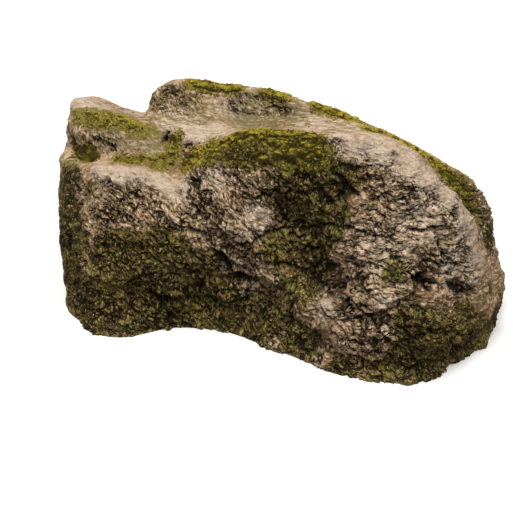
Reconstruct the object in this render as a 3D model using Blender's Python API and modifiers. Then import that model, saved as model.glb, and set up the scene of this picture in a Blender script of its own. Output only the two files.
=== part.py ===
"""A mossy boulder: one weathered stone, cut off flat where it meets the ground, and the cushions of
moss that grow on it. Metres, +Z up; +X along the stone's length, -Y its broad front face."""

import bmesh
import bpy
import numpy as np
from mathutils import Vector, noise

# Driving dimensions of the stone
STATIONS = (-1.27, -1.17, -1.03, -0.90, -0.80, -0.66, -0.50, -0.36, -0.18, 0.06, 0.31, 0.55, 0.77,
            0.96, 1.12, 1.25)  # where its cross-sections stand, along X
BURIED = 0.20  # how far the loft runs on below the ground, before it is cut off
LEFT_INSET, RIGHT_INSET = 0.80, 0.60  # the ring inside each end face, as a share of the end section
END_BULGE = 0.014  # how far that ring stands out
FOOT_SHARE, TOP_SHARE = 0.985, 0.985  # lengths of the foot and of the top, against the middle's
SMOOTH_LEVELS = 2
TIGHTEN_ROUNDS = 4
WEATHERING = {0.34: 0.022, 0.15: 0.012}  # size of the frost's swells and hollows: their depth
TOP_ROUGHNESS = 0.35  # how rough the upper faces are against the upright ones
BACK_SWELL, BACK_SWELL_SIZE = 0.09, 0.62  # the slow swells of the back face

# Driving dimensions of the moss
MOSS_GAP = 0.0004  # between the stone and the moss on it
MOSS_REACH = 0.16  # how far each cutter of the moss runs through the surface

# The stone's edges and hollows as lines along its length, from the front foot over the top to the
# back foot. Each is {x: (y, z)}, with only the knots that the line needs.
RAILS = {
    "front_foot": {
        -1.27: (0.14, 0.0), -1.20: (-0.07, 0.0), -1.02: (-0.26, 0.0), -0.84: (-0.36, 0.0),
        -0.66: (-0.32, 0.0), -0.48: (-0.16, 0.0), -0.28: (-0.11, 0.0), -0.07: (-0.10, 0.0),
        0.19: (-0.19, 0.0), 0.40: (-0.23, 0.0), 0.60: (-0.30, 0.0), 0.82: (-0.26, 0.0),
        0.98: (-0.18, 0.0), 1.09: (-0.05, 0.0), 1.19: (0.16, 0.0), 1.27: (0.36, 0.0),
    },
    "front_low": {
        -1.27: (0.08, 0.25), -1.20: (-0.11, 0.27), -1.02: (-0.27, 0.28), -0.84: (-0.33, 0.28),
        -0.66: (-0.28, 0.28), -0.48: (-0.17, 0.28), -0.28: (-0.12, 0.28), -0.07: (-0.10, 0.28),
        0.19: (-0.15, 0.28), 0.40: (-0.22, 0.28), 0.60: (-0.30, 0.28), 0.82: (-0.28, 0.26),
        0.98: (-0.21, 0.24), 1.10: (-0.07, 0.22), 1.20: (0.13, 0.20), 1.27: (0.30, 0.16),
    },
    "front_middle": {
        -1.27: (0.09, 0.52), -1.20: (-0.07, 0.55), -1.02: (-0.22, 0.56), -0.84: (-0.27, 0.56),
        -0.66: (-0.22, 0.56), -0.48: (-0.17, 0.56), -0.28: (-0.16, 0.56), -0.07: (-0.13, 0.56),
        0.19: (-0.08, 0.56), 0.40: (-0.12, 0.56), 0.60: (-0.20, 0.56), 0.82: (-0.21, 0.54),
        0.98: (-0.13, 0.46), 1.10: (0.01, 0.40), 1.20: (0.18, 0.32), 1.27: (0.33, 0.22),
    },
    "front_high": {
        -1.27: (0.11, 0.72), -1.20: (0.00, 0.75), -1.02: (-0.13, 0.77), -0.84: (-0.19, 0.79),
        -0.66: (-0.13, 0.77), -0.48: (-0.08, 0.72), -0.28: (-0.06, 0.84), -0.07: (-0.05, 0.90),
        0.19: (-0.02, 0.91), 0.40: (-0.04, 0.92), 0.60: (-0.07, 0.91), 0.82: (-0.05, 0.83),
        0.98: (0.02, 0.67), 1.10: (0.12, 0.54), 1.20: (0.25, 0.40), 1.27: (0.37, 0.27),
    },
    "front_crest": {
        -1.27: (0.14, 0.82), -1.18: (0.06, 0.86), -1.02: (-0.04, 0.87), -0.86: (-0.10, 0.91),
        -0.64: (-0.03, 0.87), -0.46: (0.00, 0.81), -0.36: (0.03, 0.93), -0.22: (0.05, 1.06),
        0.05: (0.05, 1.14), 0.31: (0.05, 1.155), 0.46: (0.05, 1.18), 0.63: (0.08, 1.15),
        0.86: (0.12, 1.01), 1.03: (0.17, 0.83), 1.15: (0.25, 0.63), 1.27: (0.40, 0.33),
    },
    "gutter": {
        -1.27: (0.18, 0.90), -1.18: (0.12, 0.88), -1.02: (0.07, 0.86), -0.80: (0.07, 0.88),
        -0.62: (0.09, 0.87), -0.46: (0.09, 0.82), -0.32: (0.13, 0.98), -0.16: (0.15, 1.08),
        0.05: (0.15, 1.11), 0.31: (0.15, 1.13), 0.50: (0.16, 1.15), 0.65: (0.18, 1.12),
        0.86: (0.23, 0.97), 1.03: (0.28, 0.79), 1.15: (0.35, 0.60), 1.27: (0.43, 0.35),
    },
    "slab_front": {
        -1.27: (0.25, 1.06), -1.18: (0.24, 1.07), -1.02: (0.24, 1.07), -0.90: (0.25, 1.04),
        -0.72: (0.22, 1.02), -0.62: (0.23, 0.97), -0.46: (0.22, 0.97), -0.36: (0.25, 1.03),
        -0.16: (0.27, 1.08), 0.05: (0.28, 1.09), 0.31: (0.28, 1.11), 0.50: (0.29, 1.11),
        0.65: (0.32, 1.06), 0.86: (0.36, 0.91), 1.03: (0.40, 0.74), 1.15: (0.44, 0.59),
        1.27: (0.46, 0.35),
    },
    "slab_back": {
        -1.27: (0.40, 1.10), -1.18: (0.40, 1.08), -1.05: (0.42, 1.05), -0.93: (0.42, 1.03),
        -0.82: (0.40, 1.05), -0.69: (0.38, 1.06), -0.40: (0.40, 1.06), -0.13: (0.42, 1.08),
        0.10: (0.42, 1.10), 0.35: (0.42, 1.12), 0.50: (0.42, 1.095), 0.65: (0.44, 1.05),
        0.84: (0.46, 0.935), 0.96: (0.50, 0.875), 1.09: (0.52, 0.765), 1.17: (0.54, 0.63),
        1.27: (0.52, 0.34),
    },
    "back_crest": {
        -1.27: (0.54, 1.04), -1.15: (0.57, 1.02), -1.00: (0.58, 1.00), -0.90: (0.56, 1.02),
        -0.83: (0.54, 1.15), -0.66: (0.56, 1.25), -0.48: (0.60, 1.21), -0.29: (0.60, 1.22),
        -0.09: (0.60, 1.21), 0.13: (0.57, 1.17), 0.28: (0.57, 1.14), 0.45: (0.58, 1.07),
        0.65: (0.60, 0.99), 0.84: (0.62, 0.895), 1.00: (0.63, 0.82), 1.12: (0.64, 0.70),
        1.27: (0.58, 0.31),
    },
    "back_high": {
        -1.27: (0.60, 0.80), -1.05: (0.72, 0.80), -0.66: (0.76, 0.92), -0.10: (0.80, 0.92),
        0.40: (0.80, 0.84), 0.84: (0.80, 0.68), 1.10: (0.76, 0.49), 1.27: (0.64, 0.23),
    },
    "back_middle": {
        -1.27: (0.58, 0.45), -1.05: (0.77, 0.46), -0.60: (0.86, 0.50), -0.10: (0.90, 0.50),
        0.40: (0.92, 0.48), 0.84: (0.90, 0.40), 1.10: (0.82, 0.28), 1.27: (0.66, 0.14),
    },
    "back_foot": {
        -1.27: (0.50, 0.0), -1.05: (0.73, 0.0), -0.60: (0.84, 0.0), -0.10: (0.86, 0.0),
        0.40: (0.91, 0.0), 0.84: (0.90, 0.0), 1.10: (0.80, 0.0), 1.27: (0.60, 0.0),
    },
}

# The larger swells (pushed out) and hollows (pushed in, negative): the line that each runs along,
# its radius and how far the surface moves at its middle.
RELIEF = {
    "middle_bulge": dict(line=[(-0.10, -0.10, 0.72), (0.02, -0.10, 0.62)], radius=0.16, push=0.035),
    "slanting_crease": dict(line=[(-0.24, -0.16, 0.56), (-0.11, -0.13, 0.42), (0.07, -0.12, 0.32)],
                            radius=0.085, push=-0.035),
    "crease_lip": dict(line=[(-0.28, -0.16, 0.40), (-0.10, -0.13, 0.24)], radius=0.09, push=0.02),
    "mossy_groove": dict(line=[(0.15, -0.04, 0.80), (0.21, -0.06, 0.70), (0.29, -0.08, 0.61),
                               (0.38, -0.13, 0.52), (0.46, -0.19, 0.45), (0.57, -0.25, 0.42)],
                         radius=0.10, push=-0.045),
    "groove_roof": dict(line=[(0.50, -0.15, 0.62), (0.60, -0.18, 0.58)], radius=0.10, push=0.03),
    "pale_bulge": dict(line=[(0.36, -0.19, 0.33), (0.46, -0.23, 0.30)], radius=0.10, push=0.035),
    "low_groove": dict(line=[(0.13, -0.13, 0.33), (0.25, -0.16, 0.23)], radius=0.08, push=-0.025),
    "round_hollow": dict(line=[(0.70, -0.27, 0.38), (0.80, -0.27, 0.37)], radius=0.08, push=-0.03),
    "shoulder_hollow": dict(line=[(0.94, -0.12, 0.53), (1.03, -0.04, 0.49), (1.10, 0.04, 0.43)],
                            radius=0.09, push=-0.045),
    "right_belly": dict(line=[(1.00, -0.18, 0.28)], radius=0.16, push=0.02),
    "slab_basin": dict(line=[(-0.26, 0.44, 1.09), (-0.10, 0.47, 1.12)], radius=0.09, push=-0.04),
    "horn_crevice": dict(line=[(-1.22, 0.13, 0.93), (-1.12, 0.11, 0.90), (-0.98, 0.11, 0.88)],
                         radius=0.05, push=-0.05),
    "horn_saddle": dict(line=[(-0.72, 0.24, 1.01), (-0.65, 0.20, 0.95)], radius=0.065, push=-0.04),
    "slab_end": dict(line=[(-0.57, 0.30, 1.02), (-0.48, 0.24, 1.00)], radius=0.07, push=0.03),
    "back_scoop": dict(line=[(-0.35, 0.90, 0.62), (0.05, 0.92, 0.40)], radius=0.22, push=-0.07),
    "back_shoulder": dict(line=[(0.55, 0.86, 0.66)], radius=0.24, push=0.05),
    "back_left_swell": dict(line=[(-0.85, 0.80, 0.60), (-0.90, 0.82, 0.25)], radius=0.22, push=0.05),
    "back_foot_swell": dict(line=[(0.30, 0.90, 0.10), (0.70, 0.90, 0.12)], radius=0.16, push=0.04),
    "right_end_scoop": dict(line=[(1.27, 0.45, 0.56)], radius=0.16, push=-0.035),
    "horn_back_scoop": dict(line=[(-1.20, 0.52, 1.06), (-1.08, 0.52, 1.04)], radius=0.12, push=-0.018),
    "left_end_scoop": dict(line=[(-1.28, 0.40, 0.60)], radius=0.20, push=-0.05),
    "right_gully": dict(line=[(0.89, 0.45, 0.90), (1.00, 0.43, 0.79), (1.07, 0.43, 0.70)],
                        radius=0.06, push=-0.03),
}

# The cushions of moss: the outline of each one on the stone, the way it faces and how high it grows.
MOSS = {
    "moss_centre_ridge": dict(facing=(-0.1, -0.6, 0.8), height=0.020, outline=[
        (-0.50, 0.14, 0.86), (-0.45, 0.19, 0.93), (-0.37, 0.19, 1.00), (-0.24, 0.15, 1.07),
        (-0.10, 0.14, 1.12), (0.04, 0.15, 1.13), (0.16, 0.13, 1.14), (0.27, 0.09, 1.16),
        (0.36, 0.03, 1.13), (0.40, 0.00, 1.08), (0.31, 0.00, 1.04), (0.20, 0.00, 1.02),
        (0.06, -0.01, 1.00), (-0.06, -0.02, 0.98), (-0.15, -0.01, 1.00), (-0.25, 0.01, 0.99),
        (-0.34, 0.03, 0.94), (-0.43, 0.08, 0.87)]),
    "moss_horn_brow": dict(facing=(0.0, -0.5, 0.85), height=0.016, outline=[
        (-1.23, 0.24, 1.07), (-1.12, 0.27, 1.08), (-1.00, 0.28, 1.07), (-0.90, 0.29, 1.06),
        (-0.79, 0.26, 1.04), (-0.74, 0.22, 1.01), (-0.81, 0.21, 1.01), (-0.91, 0.22, 1.02),
        (-0.99, 0.19, 1.01), (-1.07, 0.18, 1.01), (-1.17, 0.20, 1.03)]),
    "moss_horn_foot": dict(facing=(-0.1, -0.7, 0.7), height=0.014, outline=[
        (-1.19, 0.13, 0.92), (-1.09, 0.13, 0.93), (-1.01, 0.10, 0.89), (-1.06, 0.07, 0.86),
        (-1.14, 0.09, 0.87)]),
    "moss_gutter": dict(facing=(0.1, -0.45, 0.9), height=0.016, outline=[
        (-0.90, 0.08, 0.89), (-0.79, 0.10, 0.90), (-0.68, 0.12, 0.90), (-0.62, 0.16, 0.92),
        (-0.62, 0.26, 0.98), (-0.56, 0.29, 1.00), (-0.54, 0.22, 0.95), (-0.53, 0.14, 0.88),
        (-0.57, 0.09, 0.85), (-0.66, 0.06, 0.87), (-0.77, 0.04, 0.88), (-0.88, 0.05, 0.89)]),
    "moss_back_left": dict(facing=(0.0, -0.3, 0.95), height=0.016, outline=[
        (-0.62, 0.50, 1.20), (-0.60, 0.58, 1.22), (-0.50, 0.61, 1.22), (-0.40, 0.62, 1.22),
        (-0.30, 0.60, 1.21), (-0.32, 0.54, 1.19), (-0.42, 0.53, 1.19), (-0.53, 0.52, 1.19)]),
    "moss_back_middle": dict(facing=(0.0, -0.3, 0.95), height=0.014, outline=[
        (-0.19, 0.56, 1.21), (-0.17, 0.62, 1.21), (-0.08, 0.63, 1.21), (0.00, 0.60, 1.19),
        (-0.03, 0.55, 1.19), (-0.10, 0.54, 1.19)]),
    "moss_back_right": dict(facing=(0.1, -0.2, 0.97), height=0.016, outline=[
        (0.11, 0.53, 1.17), (0.13, 0.60, 1.17), (0.24, 0.60, 1.15), (0.35, 0.57, 1.12),
        (0.42, 0.49, 1.11), (0.33, 0.45, 1.13), (0.23, 0.46, 1.14), (0.15, 0.49, 1.16)]),
    "moss_shoulder": dict(facing=(0.5, 0.0, 0.86), height=0.016, outline=[
        (0.44, 0.41, 1.11), (0.52, 0.48, 1.08), (0.64, 0.50, 1.03), (0.76, 0.49, 0.98),
        (0.88, 0.50, 0.91), (0.97, 0.50, 0.85), (1.05, 0.48, 0.77), (1.11, 0.44, 0.67),
        (1.06, 0.39, 0.70), (0.99, 0.34, 0.80), (0.91, 0.29, 0.91), (0.82, 0.27, 0.99),
        (0.70, 0.31, 1.06), (0.58, 0.36, 1.09)]),
}


def along(knots, xs):
    """Points of a smooth line through the knots: a Hermite curve with its neighbours' slopes."""
    at = np.array(sorted(knots))
    points = np.array([knots[k] for k in sorted(knots)])
    slopes = np.gradient(points, at, axis=0)
    i = np.clip(np.searchsorted(at, xs) - 1, 0, len(at) - 2)
    h = (at[i + 1] - at[i])[:, None]
    t = (xs - at[i])[:, None] / h
    return (
        (2 * t**3 - 3 * t**2 + 1) * points[i]
        + (t**3 - 2 * t**2 + t) * h * slopes[i]
        + (3 * t**2 - 2 * t**3) * points[i + 1]
        + (t**3 - t**2) * h * slopes[i + 1]
    )


def cage_rings():
    """One ring of rail points for each station, and a smaller ring inside each end face."""
    xs = np.clip(np.array(STATIONS), *[f(RAILS["front_foot"]) for f in (min, max)])
    lines, shares = [], []
    for name, knots in RAILS.items():
        line = along(knots, xs)
        foot = name.endswith("foot")
        if foot and not lines:
            lines.append(line - (0, BURIED))
        lines.append(line)
        if foot and len(lines) > 2:
            lines.append(line - (0, BURIED))
        top = name in ("gutter", "slab_front", "slab_back", "back_crest")
        shares += [FOOT_SHARE] * 2 if foot else [TOP_SHARE] if top else [1.0]
    rings = np.array([[(x * share, *line[s]) for line, share in zip(lines, shares)]
                      for s, x in enumerate(xs)])

    def inset(ring, share, outwards):
        middle = ring.mean(axis=0)
        return middle + (ring - middle) * (1.0, share, share) + (outwards, 0, 0)

    return [inset(rings[0], LEFT_INSET, -END_BULGE), *rings, inset(rings[-1], RIGHT_INSET, END_BULGE)]


def tighten(bm):
    """Moves the cage outwards until the smoothed surface passes through the points it had at first."""
    inner = [v for v in bm.verts if all(len(f.verts) == 4 for f in v.link_faces)]
    wanted = {v: v.co.copy() for v in inner}
    for _ in range(TIGHTEN_ROUNDS):
        moves = {}
        for v in inner:
            n = len(v.link_edges)
            edges = sum((e.other_vert(v).co for e in v.link_edges), Vector())
            around = sum((sum((w.co for w in f.verts), Vector()) - v.co for f in v.link_faces), Vector())
            corners = around - 2 * edges
            moves[v] = wanted[v] - (n * n * v.co + 4 * edges + corners) / (n * (n + 5))
        for v, move in moves.items():
            v.co += move


def build_cage():
    bm = bmesh.new()
    grid = [[bm.verts.new(p) for p in ring] for ring in cage_rings()]
    count = len(grid[0])
    for a, b in zip(grid, grid[1:]):
        for k in range(count):
            n = (k + 1) % count
            bm.faces.new((a[k], b[k], b[n], a[n]))
    bm.faces.new(grid[0])
    bm.faces.new(grid[-1][::-1])
    bmesh.ops.recalc_face_normals(bm, faces=bm.faces)
    tighten(bm)
    mesh = bpy.data.meshes.new("boulder")
    bm.to_mesh(mesh)
    bm.free()
    return mesh


def away_from(points, line):
    """Distance of each point from a line of straight pieces (or from a single point)."""
    line = np.array(line)
    best = np.linalg.norm(points - line[0], axis=1)
    for a, b in zip(line, line[1:]):
        t = np.clip((points - a) @ (b - a) / ((b - a) @ (b - a)), 0, 1)[:, None]
        best = np.minimum(best, np.linalg.norm(points - a - t * (b - a), axis=1))
    return best


def vertex_arrays(mesh):
    places, normals = np.empty(len(mesh.vertices) * 3), np.empty(len(mesh.vertices) * 3)
    mesh.vertices.foreach_get("co", places)
    mesh.vertices.foreach_get("normal", normals)
    return places.reshape(-1, 3), normals.reshape(-1, 3)


def move_along_normals(mesh, distance):
    places, normals = vertex_arrays(mesh)
    moved = places + normals * np.reshape(distance, (-1, 1))
    mesh.vertices.foreach_set("co", moved.ravel())
    mesh.update()


def weather(mesh):
    """Swells, hollows and the slow work of frost on the smooth stone."""
    places, normals = vertex_arrays(mesh)
    push = np.zeros(len(places))
    for shape in RELIEF.values():
        push += shape["push"] * np.exp(-(away_from(places, shape["line"]) / shape["radius"]) ** 2)
    rough = 1 - (1 - TOP_ROUGHNESS) * np.clip(normals[:, 2], 0, 1)
    for size, depth in WEATHERING.items():
        bumps = np.array([noise.noise(Vector(p / size)) for p in places])
        push += depth * rough * bumps
    back = np.clip(normals[:, 1], 0, 1)
    push += BACK_SWELL * back * np.array([noise.noise(Vector(p / BACK_SWELL_SIZE)) for p in places])
    move_along_normals(mesh, push)


def evaluated(obj, name):
    shape = obj.evaluated_get(bpy.context.evaluated_depsgraph_get())
    mesh = bpy.data.meshes.new_from_object(shape)
    mesh.name = name
    return mesh


def add_object(name, mesh, collection, cutter=False):
    obj = bpy.data.objects.new(name, mesh)
    collection.objects.link(obj)
    obj.hide_render = cutter
    obj.display_type = "WIRE" if cutter else "TEXTURED"
    return obj


def add_cut(obj, name, operation, other):
    cut = obj.modifiers.new(name, "BOOLEAN")
    cut.operation = operation
    cut.solver = "EXACT"
    cut.object = other


def add_material(name, colour, roughness):
    material = bpy.data.materials.new(name)
    material.use_nodes = True
    shader = material.node_tree.nodes["Principled BSDF"]
    shader.inputs["Base Color"].default_value = (*colour, 1)
    shader.inputs["Roughness"].default_value = roughness
    return material


def moss_cutter(outline, facing):
    """A prism through the stone's surface, with the moss's outline."""
    ring = [Vector(p) for p in outline]
    reach = Vector(facing).normalized() * MOSS_REACH
    middle = sum(ring, Vector()) / len(ring)
    bm = bmesh.new()
    below = [bm.verts.new(p - reach) for p in ring]
    above = [bm.verts.new(p + reach) for p in ring]
    ends = [bm.verts.new(middle - reach), bm.verts.new(middle + reach)]
    for k in range(len(ring)):
        n = (k + 1) % len(ring)
        bm.faces.new((below[k], below[n], above[n], above[k]))
        bm.faces.new((below[n], below[k], ends[0]))
        bm.faces.new((above[k], above[n], ends[1]))
    bmesh.ops.recalc_face_normals(bm, faces=bm.faces)
    mesh = bpy.data.meshes.new("moss_cutter")
    bm.to_mesh(mesh)
    bm.free()
    return mesh


def grown(stone_mesh, name, distance, collection):
    mesh = stone_mesh.copy()
    move_along_normals(mesh, distance)
    return add_object(name, mesh, collection, cutter=True)


def main():
    for old in list(bpy.data.objects):
        bpy.data.objects.remove(old)
    parts = bpy.data.collections.new("mossy_rock")
    cutters = bpy.data.collections.new("cutters")
    for collection in (parts, cutters):
        bpy.context.scene.collection.children.link(collection)
    stone = add_material("weathered_stone", (0.30, 0.24, 0.18), 0.9)
    moss = add_material("living_moss", (0.13, 0.15, 0.02), 1.0)

    cage = add_object("cage", build_cage(), cutters, cutter=True)
    smooth = cage.modifiers.new("Smooth", "SUBSURF")
    smooth.levels = smooth.render_levels = SMOOTH_LEVELS
    cage.modifiers.new("Triangles", "TRIANGULATE")  # so that the moss meets the very same facets
    stone_mesh = evaluated(cage, "boulder")
    weather(stone_mesh)

    ground = bmesh.new()
    bmesh.ops.create_cube(ground, size=2 * max(STATIONS) + 1)
    bmesh.ops.translate(ground, vec=(0, 0, -max(STATIONS) - 0.5), verts=ground.verts)
    ground_mesh = bpy.data.meshes.new("ground_cutter")
    ground.to_mesh(ground_mesh)
    ground.free()
    ground_cutter = add_object("ground_cutter", ground_mesh, cutters, cutter=True)

    boulder = add_object("boulder", stone_mesh, parts)
    boulder.data.materials.append(stone)
    add_cut(boulder, "FlatBase", "DIFFERENCE", ground_cutter)

    clear = grown(stone_mesh, "moss_underside", MOSS_GAP, cutters)
    for name, shape in MOSS.items():
        mat = add_object(name, moss_cutter(shape["outline"], shape["facing"]), parts)
        mat.data.materials.append(moss)
        tips = grown(stone_mesh, name + "_tips", shape["height"], cutters)
        add_cut(mat, "Tips", "INTERSECT", tips)
        add_cut(mat, "Underside", "DIFFERENCE", clear)

    # The frame's origin is at the middle of the finished object, on the ground.
    corners = [vertex_arrays(evaluated(obj, "measured"))[0] for obj in parts.objects]
    low = np.min([c.min(axis=0) for c in corners], axis=0)
    high = np.max([c.max(axis=0) for c in corners], axis=0)
    for obj in [*parts.objects, *cutters.objects]:
        obj.location = (-(low[0] + high[0]) / 2, -(low[1] + high[1]) / 2, -low[2])


main()
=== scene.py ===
import math

import bpy
import numpy as np
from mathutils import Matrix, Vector
from mathutils.bvhtree import BVHTree


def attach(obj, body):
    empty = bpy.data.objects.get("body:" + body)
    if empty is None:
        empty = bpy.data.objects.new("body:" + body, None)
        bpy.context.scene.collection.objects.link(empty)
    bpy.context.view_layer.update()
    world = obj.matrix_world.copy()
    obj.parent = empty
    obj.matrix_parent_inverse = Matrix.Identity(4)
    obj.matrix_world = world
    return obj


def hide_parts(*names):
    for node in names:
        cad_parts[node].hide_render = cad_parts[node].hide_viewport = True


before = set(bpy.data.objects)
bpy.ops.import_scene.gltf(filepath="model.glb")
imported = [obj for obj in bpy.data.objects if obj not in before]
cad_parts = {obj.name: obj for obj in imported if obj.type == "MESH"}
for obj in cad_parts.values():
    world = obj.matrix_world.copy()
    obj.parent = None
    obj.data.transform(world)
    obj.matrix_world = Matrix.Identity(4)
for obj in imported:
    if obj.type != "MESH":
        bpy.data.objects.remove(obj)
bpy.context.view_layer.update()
print("frame loaded")


def linearColour(hexValue):  # "#RRGGBB" in sRGB to linear RGBA
    parts = [int(hexValue[i:i + 2], 16) / 255 for i in (1, 3, 5)]
    return [p / 12.92 if p <= 0.04045 else ((p + 0.055) / 1.055) ** 2.4 for p in parts] + [1.0]


def addNode(tree, kind, settings, out=0):  # a value that is a socket is linked, any other is set
    node = tree.nodes.new(kind)
    for name, value in settings.items():
        if isinstance(value, bpy.types.NodeSocket):
            tree.links.new(value, node.inputs[name])
        elif isinstance(name, int) or name not in node.bl_rna.properties:
            node.inputs[name].default_value = value
        else:
            setattr(node, name, value)
    return node.outputs[out] if node.outputs else None


def pickOnly(obj):
    bpy.ops.object.select_all(action="DESELECT")
    obj.select_set(True)
    bpy.context.view_layer.objects.active = obj


def applyModifier(obj, kind, settings):
    pickOnly(obj)
    modifier = obj.modifiers.new(kind.lower(), kind)
    for name, value in settings.items():
        setattr(modifier, name, value)
    bpy.ops.object.modifier_apply(modifier=modifier.name)


def editPoints(obj, wanted):  # into edit mode with only these vertices selected
    pickOnly(obj)
    bpy.ops.object.mode_set(mode="EDIT")
    bpy.ops.mesh.select_mode(type="VERT")
    bpy.ops.mesh.select_all(action="DESELECT")
    bpy.ops.object.mode_set(mode="OBJECT")
    obj.data.vertices.foreach_set("select", wanted)
    bpy.ops.object.mode_set(mode="EDIT")


def copyOfNode(node, name):
    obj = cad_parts[node].copy()
    obj.data = obj.data.copy()
    obj.parent = None
    obj.name = obj.data.name = name
    for key in list(obj.keys()):
        del obj[key]
    bpy.context.scene.collection.objects.link(obj)
    pickOnly(obj)
    bpy.ops.object.mode_set(mode="EDIT")
    bpy.ops.mesh.select_all(action="SELECT")
    bpy.ops.mesh.remove_doubles(threshold=0.00001)
    bpy.ops.mesh.normals_make_consistent(inside=False)
    bpy.ops.object.mode_set(mode="OBJECT")
    return obj


def pointArrays(obj):  # positions and normals of every vertex
    count = len(obj.data.vertices)
    where, facing = np.zeros(count * 3), np.zeros(count * 3)
    obj.data.vertices.foreach_get("co", where)
    obj.data.vertices.foreach_get("normal", facing)
    return where.reshape(-1, 3), facing.reshape(-1, 3)


def keepOffGround(obj):  # nothing may hang below the cut the stone rests on
    places = pointArrays(obj)[0]
    places[:, 2] = np.maximum(places[:, 2], 0)
    obj.data.vertices.foreach_set("co", places.ravel())
    obj.data.update()


def newGeometryTree(name):
    tree = bpy.data.node_groups.new(name, "GeometryNodeTree")
    tree.interface.new_socket("Geometry", in_out="INPUT", socket_type="NodeSocketGeometry")
    tree.interface.new_socket("Geometry", in_out="OUTPUT", socket_type="NodeSocketGeometry")
    return tree


view = {  # lengths in metres, angles in degrees
    "target": (-0.002, -0.304, 0.45), "azimuth": 20, "elevation": 27, "distance": 4.67,
    "lens": 60, "sensor": 36, "floor": 40.0, "floorDrop": 0.001, "floorColour": "#E9E7E3",
    "skyColour": "#FFFFFF", "skyStrength": 0.34,
    "lampFrom": (0.3, -2.4, 5.7), "lampSpread": 44, "lampStrength": 4.0,
}


def addStudio():
    azimuth, elevation = math.radians(view["azimuth"]), math.radians(view["elevation"])
    back = Vector((math.sin(azimuth) * math.cos(elevation), -math.cos(azimuth) * math.cos(elevation),
        math.sin(elevation)))
    bpy.ops.object.camera_add(location=Vector(view["target"]) + back * view["distance"],
        rotation=(math.pi / 2 - elevation, 0, azimuth))
    camera = bpy.context.object
    camera.name = "camera"
    camera.data.lens = view["lens"]
    camera.data.sensor_width = view["sensor"]
    bpy.context.scene.camera = camera

    bpy.ops.object.light_add(type="SUN", location=view["lampFrom"],
        rotation=Vector(view["lampFrom"]).to_track_quat("Z", "Y").to_euler())
    lamp = bpy.context.object
    lamp.name = "soft_overhead"
    lamp.data.angle = math.radians(view["lampSpread"])
    lamp.data.energy = view["lampStrength"]

    world = bpy.data.worlds.new("studio")
    world.use_nodes = True
    sky = world.node_tree.nodes["Background"]
    sky.inputs["Color"].default_value = linearColour(view["skyColour"])
    sky.inputs["Strength"].default_value = view["skyStrength"]
    bpy.context.scene.world = world

    bpy.ops.mesh.primitive_plane_add(size=view["floor"], location=(0, 0, -view["floorDrop"]))
    floor = bpy.context.object
    floor.name = "floor"
    pale = bpy.data.materials.new("matt_studio_paper")  # uncoated card: an even field with no shine
    pale.use_nodes = True
    shader = pale.node_tree.nodes["Principled BSDF"]
    shader.inputs["Base Color"].default_value = linearColour(view["floorColour"])
    shader.inputs["Roughness"].default_value = 0.9
    floor.data.materials.append(pale)
    floor.visible_diffuse = False  # the paper throws no light back up onto the stone
    bpy.context.scene.view_settings.view_transform = "Standard"


addStudio()
print("studio ready")

stone = {  # lengths in metres
    "voxel": 0.008, "settle": 10, "triangles": 196000,
    "shownSide": (0.25, -0.75, 0.62), "shownLeast": -0.1,   # what faces this way gets the finer mesh
    "footHeight": 0.006, "footFacing": -0.7,        # the flat cut it rests on stays flat
    "streak": 1.8,          # how much longer than thick a chip is
    "beds": ((33, 0, 0), (6, 0.25, 0.65), (62, -0.85, -1.12)),  # slope in degrees, from and to
    "sway": ((0.08, 0.05), (0.022, 0.012)),         # size and reach
    "lumps": ((0.22, 0.010, 2.0, 0.35, 0.65), (0.10, 0.017, 3.0, 0.34, 0.60),
              (0.045, 0.009, 3.0, 0.32, 0.68)),     # size, rise, detail and the noise's range
    "creases": ((0.085, 0.016), (0.036, 0.010), (0.017, 0.005)),  # size and depth
    "creaseWidth": 0.045, "creaseShare": (0.43, 0.55),
    "chips": ((0.026, 0.008), (0.011, 0.004)),      # size and rise
    "crags": ((0.030, 0.009), (0.008, 0.003)),
    # true grit is 1 mm and would not show, so it is drawn coarser
    "grain": 0.0085, "grainStretch": (0.62, 0.62, 1.15),
    "pit": 0.030, "pitDepth": 0.014, "sink": -0.003,
    "worn": 0.13, "wornShare": 0.45,
    "droop": 0.45,          # chips hang over the dents below them
    "topCalm": 0.26, "topFacing": (0.48, 0.84),     # tops are worn smooth
    "endCalm": 0.45, "endsFrom": (1.02, 1.20), "middle": 0.02,
    "underMoss": 0.12, "mossEdge": (0.012, 0.035), "mossFacing": (0.45, 0.75),
    "mossFringe": 0.05,     # how far green film spreads round the moss
    "cutRagged": 0.020, "cutShare": (0.35, 1.25),   # a crack's depth comes and goes along it
    "fullCut": 0.022,                               # a wider cut gets less painted shade
    "algae": {"patch": 1.5, "mottle": 1.0, "blotch": 1.1}, "algaeNeeds": 1.8,  # what breaks it up
    "fringe": (0.75, -0.1), "fringePatch": 1.2, "fringeNeeds": 1.1,  # film at a mat and at its reach
    "bumps": {"speck": 0.004, "grit": 0.004, "grain": 0.006, "wisp": 0.004},  # rise of the fine relief
    "cavityRounds": 10, "hollowRounds": 70,         # smoothing that the dents are measured against
}

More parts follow.
